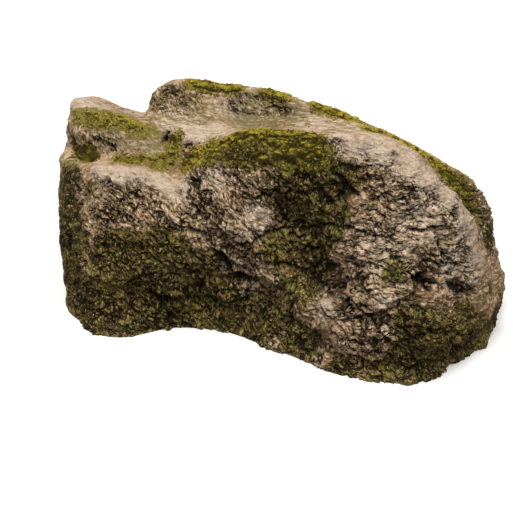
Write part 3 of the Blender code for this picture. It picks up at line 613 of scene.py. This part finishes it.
hidden = (1 - stone["underMoss"]) * (1 - easeBetween(fromMoss, *stone["mossEdge"]))
hidden *= easeBetween(normals[:, 2], *stone["mossFacing"])  # steep stone breaks through the moss
storeNumbers(boulder, "rough", np.where(foot, 0.0, calm * (1 - hidden)))
applyModifier(boulder, "NODES", {"node_group": weatheringTree()})
keepOffGround(boulder)
print("stone weathered")
ratio = stone["triangles"] / sum(len(p.vertices) - 2 for p in boulder.data.polygons)
applyModifier(boulder, "DECIMATE", {"ratio": ratio})
keepOffGround(boulder)
print("stone thinned:", len(boulder.data.polygons), "triangles")


def paintZones(obj):
    count = len(obj.data.vertices)
    places = np.zeros(count * 3)
    obj.data.attributes["restPlace"].data.foreach_get("vector", places)
    places = places.reshape(-1, 3)
    for name, spots in stoneZones.items():
        storeNumbers(obj, name, spotShare(places, spots))


paintZones(boulder)
pickOnly(boulder)
bpy.ops.object.shade_smooth()

# size in metres and stretch of each stain; grit stands for 1 mm crystals, too fine to show
stoneStains = {
    "broad": (0.22, (1, 1, 1)), "blotch": (0.10, (1, 1, 1)), "patch": (0.055, (1, 1, 1)),
    "mottle": (0.026, (1, 1, 1)), "speck": (0.012, (1, 1, 1)), "grit": (0.0075, (1, 1, 1)),
    "wisp": (0.013, (0.22, 1, 0.7)),
}

# coats of colour: most it covers, then each pattern that holds it back
stoneCoats = (
    ("#8F6C4B", 1.0),
    ("#BA9974", 1.0, ("broad", 0.40, 0.60)),
    ("#CDAF8D", 0.7, ("patch", 0.44, 0.66)),
    ("#654A2E", 0.5, ("blotch", 0.50, 0.36)),
    ("#523A22", 0.6, ("tone", 0.55, 0.80)),
    ("#CBAE8A", 0.6, ("tone", 0.45, 0.22)),
    ("#7A5038", 0.6, ("rust", 0.2, 0.9), ("patch", 0.35, 0.55)),
    ("#5E5430", 0.5, ("fine", 0.001, -0.007), ("rough", 0.1, 0.5)),    # dirt and algae in the dents
    ("#C1AC96", 0.9, ("pale", 0.1, 0.9), ("patch", 0.26, 0.5)),
    ("#8A7152", 0.6, ("wisp", 0.50, 0.38), ("rough", 0.6, 0.3)),       # run marks on the worn tops
    ("#D3C1A8", 0.6, ("wisp", 0.52, 0.66), ("rough", 0.6, 0.3)),
    ("#7D6C42", 0.8, ("wash", 0.1, 0.8), ("wisp", 0.58, 0.44)),        # thin green run down the tops
    ("#574C2A", 0.7, ("wash", 0.2, 0.9), ("wisp", 0.46, 0.35)),
    ("#3A2C1C", 0.5, ("speck", 0.46, 0.30)),
    ("#E6D0B2", 0.65, ("grain", 0.53, 0.64), ("rough", 0.2, 0.6)),
    ("#6E6848", 0.8, ("lichen", 0.1, 0.9), ("mottle", 0.36, 0.60)),
    ("#130F07", 0.88, ("algae", 0.36, 0.66)),                          # black algae crust
    ("#5C5420", 0.9, ("algae", 0.30, 0.60), ("grain", 0.43, 0.54), ("fine", -0.010, 0.0)),  # film moss
    ("#7E6342", 0.7, ("algae", 0.30, 0.60), ("tone", 0.55, 0.75), ("grain", 0.42, 0.52)),
    ("#755636", 0.7, ("algae", 0.30, 0.60), ("patch", 0.51, 0.43), ("grain", 0.44, 0.55)),
    ("#8E843A", 0.8, ("algae", 0.34, 0.64), ("grain", 0.52, 0.60), ("speck", 0.40, 0.54)),
    ("#BCB06A", 0.85, ("algae", 0.34, 0.64), ("grit", 0.55, 0.62), ("mottle", 0.42, 0.56)),
    ("#574D1E", 0.9, ("fringe", 0.35, 0.65)),                          # thin moss round the cushions
    ("#80732F", 0.85, ("fringe", 0.35, 0.65), ("speck", 0.44, 0.60)),
    ("#A39646", 0.75, ("fringe", 0.40, 0.70), ("grit", 0.50, 0.64)),
    ("#B39C7F", 0.5, ("cavity", -0.0005, -0.006), ("algae", 0.5, 0.2)),  # raised heads lighter: worn stone and a painted highlight
    # painted shade in the broad hollows
    ("#2A2015", 0.35, ("hollow", 0.006, 0.026), ("mottle", 0.36, 0.50), ("rough", 0.2, 0.6)),
    # painted shade in the hollows and under overhangs, broken up by mottle
    ("#1E160D", 0.8, ("damp", 0.2, 0.9), ("mottle", 0.60, 0.44), ("rough", 0.2, 0.6)),
    ("#22160A", 0.88, ("grain", 0.46, 0.37), ("rough", 0.25, 0.85)),
    # painted shade: near black along the creases and pits
    ("#1A1007", 0.9, ("slit", 0.2, 0.55), ("rough", 0.25, 0.85)),
    # painted shade: near black inside the listed cracks and hollows
    ("#0F0A05", 0.95, ("cut", 0.35, 0.85), ("speck", 0.66, 0.50)),
    # dark in the pits: partly dark algae, partly painted shade
    ("#190F07", 0.9, ("cavity", 0.0014, 0.006)),
)


def stoneMaterial():  # coarse granite, split and rained on: dull, dry and mottled, with no polish; painted shade lies in its cracks, pits and hollows and a painted highlight on its heads
    material = bpy.data.materials.new("weathered_granite")
    material.use_nodes = True
    tree = material.node_tree
    shader = tree.nodes["Principled BSDF"]
    ready = {name: addNode(tree, "ShaderNodeAttribute", {"attribute_name": name}, "Fac")
             for name in ("cavity", "hollow", "rough", "cut", "mossGap", *stoneZones)}
    rest = addNode(tree, "ShaderNodeAttribute", {"attribute_name": "restPlace"}, "Vector")
    bed = addNode(tree, "ShaderNodeGroup", {"node_tree": beddedGroup("Shader"), 0: rest}).node.outputs
    for name in patternOutputs[1:]:
        ready[name.lower()] = bed[name]
    for name, (size, stretch) in stoneStains.items():
        drawn = addNode(tree, "ShaderNodeVectorMath", {"operation": "MULTIPLY", 0: rest, 1: stretch})
        ready[name] = addNode(tree, "ShaderNodeTexNoise", {"Vector": drawn, "Scale": 1 / size,
            "Detail": 4.0, "Roughness": 0.65})
    # algae grows in the film zones, thinning out in patches of three sizes
    algae = ready["film"]
    for name, weight in stone["algae"].items():
        algae = addNode(tree, "ShaderNodeMath", {"operation": "MULTIPLY_ADD", 0: ready[name], 1: weight,
            2: algae})
    ready["algae"] = addNode(tree, "ShaderNodeMath", {"operation": "SUBTRACT", 0: algae,
        1: stone["algaeNeeds"]})
    # and moss film on the stone fades out with the distance from the moss
    fringe = addNode(tree, "ShaderNodeMapRange", {0: ready["mossGap"], "From Max": stone["mossFringe"],
        "To Min": stone["fringe"][0], "To Max": stone["fringe"][1]})
    fringe = addNode(tree, "ShaderNodeMath", {"operation": "MAXIMUM", 0: fringe, 1: ready["green"]})
    fringe = addNode(tree, "ShaderNodeMath", {"operation": "MULTIPLY_ADD", 0: ready["patch"],
        1: stone["fringePatch"], 2: fringe})
    fringe = addNode(tree, "ShaderNodeMath", {"operation": "ADD", 0: fringe, 1: ready["mottle"]})
    ready["fringe"] = addNode(tree, "ShaderNodeMath", {"operation": "SUBTRACT", 0: fringe,
        1: stone["fringeNeeds"]})
    # each coat lies over the ones before it where its patterns say so
    colour = None
    for hexValue, most, *patterns in stoneCoats:
        share = most
        for name, low, high in patterns:
            part = addNode(tree, "ShaderNodeMapRange", {0: ready[name], "From Min": low, "From Max": high,
                "interpolation_type": "SMOOTHSTEP"})
            share = addNode(tree, "ShaderNodeMath", {"operation": "MULTIPLY", 0: part, 1: share})
        coat = linearColour(hexValue)
        colour = coat if colour is None else addNode(tree, "ShaderNodeMix", {"data_type": "RGBA",
            0: share, 6: colour, 7: coat}, 2)
    tree.links.new(colour, shader.inputs["Base Color"])
    shader.inputs["Roughness"].default_value = 0.9
    shader.inputs["Specular IOR Level"].default_value = 0.1  # the broken surface traps most of its shine
    fine = addNode(tree, "ShaderNodeMath", {"operation": "MULTIPLY", 0: bed["Fine"], 1: ready["rough"]})
    for name, rise in stone["bumps"].items():
        fine = addNode(tree, "ShaderNodeMath", {"operation": "MULTIPLY_ADD", 0: ready[name], 1: rise,
            2: fine})
    bump = addNode(tree, "ShaderNodeBump", {"Strength": 1.0, "Distance": 1.0, "Height": fine})
    tree.links.new(bump, shader.inputs["Normal"])
    return material


boulder.data.materials.clear()
boulder.data.materials.append(stoneMaterial())
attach(boulder, "root")
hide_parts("boulder")
print("stone finished")

moss = {  # lengths in metres
    "voxel": 0.005, "settle": 3,
    "rim": (0.002, 0.012),          # where a mat is thinner than this it doesn't swell
    "sunk": (0.003, 0.017),         # least and most that the mats are let into the stone
    "weak": 0.58, "strong": 0.88,   # growth where a mat lies deepest and where it stands highest
    "bareBelow": 1.35, "fullAbove": 1.55,  # growth where no shoot stands on bare stone, and where all do
    "pillow": 0.050, "pillowHeight": (0.006, 0.013),  # rounded cushions, higher where it is steep
    "knob": 0.013, "knobHeight": 0.004,
    "shootGap": 0.0064, "shootSize": (0.7, 1.15), "ragged": 0.035,  # clumps and gaps
    "edge": 0.010, "stray": 0.065,            # shoots thin out between these distances from a mat
    "nearShare": 0.72, "steepShare": 0.45,    # more of them near a mat, fewer on steep stone
    "reach": 0.04,                            # how far a shoot looks for stone or moss above it
    "sunward": 0.4, "lean": (0.35, 0.35, 0.2),  # how shoots turn up to the light, and off true
    "leaves": 5, "leafReach": 0.0066, "leafRise": 0.0025, "notch": 0.26,  # how far leaves are parted
    "shootHeight": 0.0058, "root": 0.006,
    "patch": 0.045,
    # shaded is a painted shade of the other colours
    "base": "#3A310E", "shaded": "#5C511D", "brown": "#8F7833", "old": "#BCA83C", "young": "#E4D058",
    "bright": "#D2BE46",
}

# thin moss in the lee of the horn: how much deeper it sits, how much sparser and how much more painted
# shade it gets
mossThin = {
    "moss_horn_brow": (0.006, 0.3, 0.05), "moss_horn_foot": (0.002, 0.1, 0.5),
    "moss_gutter": (0.006, 0.3, 0.25),
}


def addShoot():  # one star of pointed leaves, seen from above, with its tips raised
    count = moss["leaves"] * 2
    bpy.ops.object.select_all(action="DESELECT")
    bpy.ops.mesh.primitive_cone_add(vertices=count, radius1=moss["leafReach"], radius2=0,
        depth=moss["shootHeight"], end_fill_type="TRIFAN", location=(0, 0, moss["shootHeight"] / 2))
    shoot = bpy.context.object
    shoot.name = shoot.data.name = "moss_shoot"
    bpy.ops.object.transform_apply(location=True, rotation=True, scale=True)
    ring = [v.index for v in shoot.data.vertices if v.co.xy.length > 0.001]
    inner = sorted(ring, key=lambda i: math.atan2(shoot.data.vertices[i].co.y,
        shoot.data.vertices[i].co.x))[::2]
    bottom = [v.index for v in shoot.data.vertices if v.co.xy.length < 0.001 and v.co.z < 0.001]
    outer = [i for i in ring if i not in inner]
    for group, scale, rise in ((inner, moss["notch"], 0.0), (outer, 1.0, moss["leafRise"]),
                               (bottom, 1.0, -moss["root"])):
        editPoints(shoot, [v.index in group for v in shoot.data.vertices])
        bpy.ops.transform.resize(value=(scale, scale, 1), center_override=(0, 0, 0))
        bpy.ops.transform.translate(value=(0, 0, rise))
        bpy.ops.object.mode_set(mode="OBJECT")
    heights = np.array([v.co.xy.length / moss["leafReach"] for v in shoot.data.vertices])
    top = np.array([v.co.z > moss["shootHeight"] * 0.9 for v in shoot.data.vertices])
    storeNumbers(shoot, "tip", np.clip(heights + 0.6 * top, 0, 1))
    return shoot


def mossTree(shoot, stoneCad, stoneShown, deeper, sparser, extraShade):
    tree = newGeometryTree("moss_growth")
    mat = addNode(tree, "NodeGroupInput", {})
    place = addNode(tree, "GeometryNodeInputPosition", {})
    facing = addNode(tree, "GeometryNodeInputNormal", {})
    cad = addNode(tree, "GeometryNodeObjectInfo", {"Object": stoneCad}, "Geometry")
    aboveStone = addNode(tree, "GeometryNodeProximity", {0: cad}, "Distance")
    thick = addNode(tree, "ShaderNodeMapRange", {0: aboveStone, "From Min": moss["rim"][0],
        "From Max": moss["rim"][1]})
    pillow = addNode(tree, "ShaderNodeTexVoronoi", {"feature": "SMOOTH_F1", "Vector": place,
        "Scale": 1 / moss["pillow"], "Smoothness": 0.35})
    rounded = addNode(tree, "ShaderNodeMapRange", {0: pillow, "From Min": 0.15, "From Max": 0.75,
        "To Min": 0.3, "To Max": -1.0})
    knob = addNode(tree, "ShaderNodeTexNoise", {"Vector": place, "Scale": 1 / moss["knob"],
        "Detail": 2.0})
    knobbed = addNode(tree, "ShaderNodeMath", {"operation": "MULTIPLY_ADD", 0: knob,
        1: moss["knobHeight"] * 2, 2: -moss["knobHeight"]})
    upright = addNode(tree, "ShaderNodeSeparateXYZ", {0: facing}, "Z")
    swell = addNode(tree, "ShaderNodeMapRange", {0: upright, "From Min": 0.9, "From Max": 0.2,
        "To Min": moss["pillowHeight"][0], "To Max": moss["pillowHeight"][1]})
    height = addNode(tree, "ShaderNodeMath", {"operation": "MULTIPLY_ADD", 0: rounded, 1: swell,
        2: knobbed})
    # the mats are let into the stone, deeper where they are thin or steep
    clump = addNode(tree, "ShaderNodeTexNoise", {"Vector": place, "Scale": 1 / moss["ragged"],
        "Detail": 3.0, "Roughness": 0.65})
    vigour = addNode(tree, "ShaderNodeMath", {"operation": "MULTIPLY_ADD", 0: upright, 1: 0.3, 2: clump})
    sunk = addNode(tree, "ShaderNodeMapRange", {0: vigour, "From Min": moss["weak"],
        "From Max": moss["strong"], "To Min": -moss["sunk"][1] - deeper,
        "To Max": -moss["sunk"][0] - deeper})
    grown = addNode(tree, "ShaderNodeMath", {"operation": "MULTIPLY_ADD", 0: height, 1: thick, 2: sunk})
    # everything moves the way the stone faces there, so a mat's underside goes down as well
    outward = addNode(tree, "GeometryNodeSampleNearestSurface", {"data_type": "FLOAT_VECTOR", "Mesh": cad,
        "Value": facing, "Sample Position": place}, "Value")
    offset = addNode(tree, "ShaderNodeVectorMath", {"operation": "SCALE", 0: outward, "Scale": grown})
    body = addNode(tree, "GeometryNodeSetPosition", {"Geometry": mat, "Offset": offset})
    # painted light: a mat's upward facing, less its extra shade, says how lit it is painted
    sunlit = addNode(tree, "ShaderNodeMath", {"operation": "SUBTRACT", 0: upright, 1: extraShade})
    for name, value in (("tip", knob), ("shade", knob), ("sunward", sunlit)):
        body = addNode(tree, "GeometryNodeStoreNamedAttribute", {"data_type": "FLOAT", "domain": "POINT",
            "Name": name, "Geometry": body, "Value": value})
    # shoots stand on the cushions and on the stone in and round them, ragged toward the edge
    spread = {"distribute_method": "POISSON", "Distance Min": moss["shootGap"],
        "Density Max": 1.4 / moss["shootGap"] ** 2}
    shown = addNode(tree, "GeometryNodeObjectInfo", {"Object": stoneShown}, "Geometry")
    tips = addNode(tree, "ShaderNodeVectorMath", {"operation": "MULTIPLY_ADD", 0: outward,
        1: (moss["shootHeight"],) * 3, 2: place})
    sunken = addNode(tree, "GeometryNodeRaycast", {"Target Geometry": shown, "Source Position": tips,
        "Ray Direction": outward, "Ray Length": moss["reach"]}, "Is Hit")
    showing = addNode(tree, "FunctionNodeBooleanMath", {"operation": "NOT", 0: sunken})
    onMat = addNode(tree, "GeometryNodeDistributePointsOnFaces", {**spread, "Seed": 3, "Mesh": body,
        "Selection": showing})
    fromMat = addNode(tree, "GeometryNodeProximity", {0: body}, "Distance")
    near = addNode(tree, "ShaderNodeMapRange", {0: fromMat, "From Min": moss["edge"],
        "From Max": moss["stray"], "To Min": moss["nearShare"], "To Max": 0.0})
    steep = addNode(tree, "ShaderNodeMapRange", {0: upright, "From Min": 0.5, "From Max": 0.0,
        "To Max": -moss["steepShare"]})
    level = addNode(tree, "ShaderNodeMath", {"operation": "MULTIPLY_ADD", 0: clump, 1: 2.0, 2: near})
    level = addNode(tree, "ShaderNodeMath", {"operation": "ADD", 0: level, 1: steep})
    density = addNode(tree, "ShaderNodeMapRange", {0: level, "From Min": moss["bareBelow"] + sparser,
        "From Max": moss["fullAbove"] + sparser})
    underMat = addNode(tree, "GeometryNodeRaycast", {"Target Geometry": body, "Source Position": place,
        "Ray Direction": outward, "Ray Length": moss["reach"]}, "Is Hit")
    bare = addNode(tree, "FunctionNodeBooleanMath", {"operation": "NOT", 0: underMat})
    onStone = addNode(tree, "GeometryNodeDistributePointsOnFaces", {**spread, "Seed": 5, "Mesh": shown,
        "Density Factor": density, "Selection": bare})
    one = addNode(tree, "GeometryNodeObjectInfo", {"Object": shoot}, "Geometry")
    joined = addNode(tree, "GeometryNodeJoinGeometry", {}).node
    for points in (onMat, onStone):
        standing = points.node.outputs["Normal"]
        upward = addNode(tree, "ShaderNodeVectorMath", {"operation": "ADD", 0: standing,
            1: (0, 0, moss["sunward"])})
        raised = addNode(tree, "ShaderNodeSeparateXYZ", {0: standing}, "Z")
        # painted light: a shoot's upward facing, less the extra shade, says how lit it is painted
        sunward = addNode(tree, "ShaderNodeMath", {"operation": "SUBTRACT", 0: raised, 1: extraShade})
        jitter = addNode(tree, "FunctionNodeRandomValue", {"data_type": "FLOAT_VECTOR",
                                                           0: tuple(-a for a in moss["lean"]),
                                                           1: moss["lean"]})
        leaning = addNode(tree, "ShaderNodeVectorMath", {"operation": "ADD", 0: upward, 1: jitter})
        spin = addNode(tree, "FunctionNodeRandomValue", {"data_type": "FLOAT_VECTOR", 0: (0, 0, 0),
            1: (0, 0, 6.28)})
        turned = addNode(tree, "FunctionNodeEulerToRotation", {0: spin})
        stood = addNode(tree, "FunctionNodeAlignRotationToVector", {"axis": "Z", "Rotation": turned,
            "Vector": leaning})
        size = addNode(tree, "FunctionNodeRandomValue", {"data_type": "FLOAT", 2: moss["shootSize"][0],
            3: moss["shootSize"][1]}, 1)
        placed = addNode(tree, "GeometryNodeInstanceOnPoints", {"Points": points, "Instance": one,
            "Rotation": stood, "Scale": size})
        shade = addNode(tree, "FunctionNodeRandomValue", {"data_type": "FLOAT", "Seed": 9}, 1)
        for name, value in (("shade", shade), ("sunward", sunward)):
            placed = addNode(tree, "GeometryNodeStoreNamedAttribute", {"data_type": "FLOAT",
                "domain": "INSTANCE", "Name": name, "Geometry": placed, "Value": value})
        real = addNode(tree, "GeometryNodeRealizeInstances", {0: placed})
        tree.links.new(real, joined.inputs[0])
    tree.links.new(body, joined.inputs[0])
    addNode(tree, "NodeGroupOutput", {0: joined.outputs[0]})
    return tree


def mossMaterial():  # cushion moss: soft dark base and dull tips; painted lit and yellow where it faces up to the sun, painted shaded where it faces away
    material = bpy.data.materials.new("living_moss")
    material.use_nodes = True
    tree = material.node_tree
    shader = tree.nodes["Principled BSDF"]
    place = addNode(tree, "ShaderNodeTexCoord", {}, "Object")
    tip, shade, sunward = (addNode(tree, "ShaderNodeAttribute", {"attribute_name": name}, "Fac")
                           for name in ("tip", "shade", "sunward"))
    patch = addNode(tree, "ShaderNodeTexNoise", {"Vector": place, "Scale": 1 / moss["patch"],
        "Detail": 3.0})
    # painted light: upward facing and a patch noise say how lit each place is painted
    lit = addNode(tree, "ShaderNodeMath", {"operation": "MULTIPLY_ADD", 0: patch, 1: 1.2, 2: sunward})
    litShare = addNode(tree, "ShaderNodeMapRange", {0: lit, "From Min": 1.0, "From Max": 1.5})
    patchShare = addNode(tree, "ShaderNodeMapRange", {0: patch, "From Min": 0.38, "From Max": 0.64})
    colour = linearColour(moss["old"])
    dryShare = addNode(tree, "ShaderNodeMapRange", {0: patch, "From Min": 0.47, "From Max": 0.33})
    for share, hexValue in ((patchShare, moss["young"]), (shade, moss["bright"]),
                            (dryShare, moss["brown"])):
        colour = addNode(tree, "ShaderNodeMix", {"data_type": "RGBA", 0: share, 6: colour,
            7: linearColour(hexValue)}, 2)
    # painted shade: where it is not painted lit, the moss takes the shaded colour
    colour = addNode(tree, "ShaderNodeMix", {"data_type": "RGBA", 0: litShare, 7: colour,
        6: linearColour(moss["shaded"])}, 2)
    colour = addNode(tree, "ShaderNodeMix", {"data_type": "RGBA", 0: tip, 7: colour,
        6: linearColour(moss["base"])}, 2)
    tree.links.new(colour, shader.inputs["Base Color"])
    shader.inputs["Roughness"].default_value = 0.8
    shader.inputs["Specular IOR Level"].default_value = 0.15  # dry leaf ends scatter the light
    return material


shoot = addShoot()
living = mossMaterial()
for name in [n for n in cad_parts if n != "boulder"]:
    mat = copyOfNode(name, name + "_living")
    applyModifier(mat, "REMESH", {"mode": "VOXEL", "voxel_size": moss["voxel"]})
    applyModifier(mat, "SMOOTH", {"factor": 0.5, "iterations": moss["settle"]})
    grown = mossTree(shoot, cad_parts["boulder"], boulder, *mossThin.get(name, (0, 0, 0)))
    applyModifier(mat, "NODES", {"node_group": grown})
    mat.data.materials.clear()
    mat.data.materials.append(living)
    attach(mat, "root")
    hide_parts(name)
    print(name, "grown:", sum(len(p.vertices) - 2 for p in mat.data.polygons), "triangles")
bpy.data.objects.remove(shoot)
